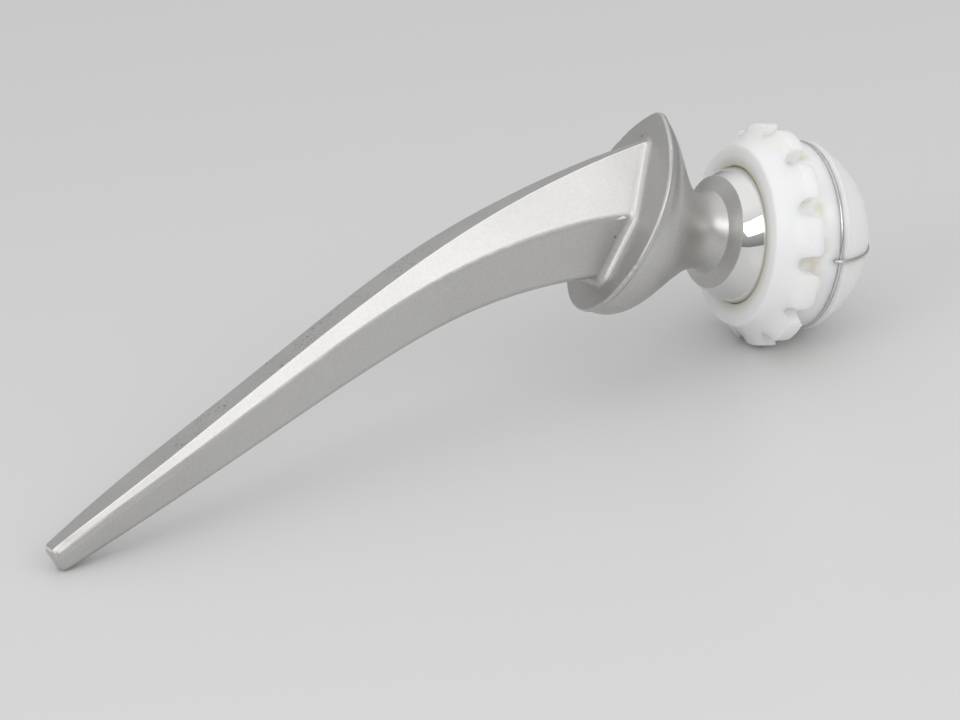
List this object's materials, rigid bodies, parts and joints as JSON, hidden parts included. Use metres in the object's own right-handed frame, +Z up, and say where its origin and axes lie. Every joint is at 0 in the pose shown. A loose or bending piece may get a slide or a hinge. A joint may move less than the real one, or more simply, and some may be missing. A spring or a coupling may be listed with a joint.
{
  "type": "hip implant stem",
  "caption": "Curved collared hip implant stem with a fixed ball head and a lugged polyethylene cup snapped over the head, with two wire markers.",
  "frame": {"origin": "centre of the bounding box, on the surface that the set lies on", "axes": "+Z up, +X along the stem from its tip towards the head, +Y away from the view of the picture"},
  "size_m": [0.208, 0.0514, 0.0601],
  "materials": {
    "implant_steel": "satin",
    "polyethylene": "satin",
    "marker_steel": "polished"
  },
  "bodies": {
    "stem": {"femoral_stem": "implant_steel"},
    "cup": {"acetabular_cup": "polyethylene", "ring_marker_wire": "marker_steel", "dome_marker_wire": "marker_steel"}
  },
  "joints": [
    {"name": "cup_swivel", "type": "hinge", "parent": "stem", "child": "cup", "pos_m": [0.07517, 0.00048, 0.02631], "axis": [0, -0.9964, 0.0849], "range_deg": [-50, 41]}
  ]
}
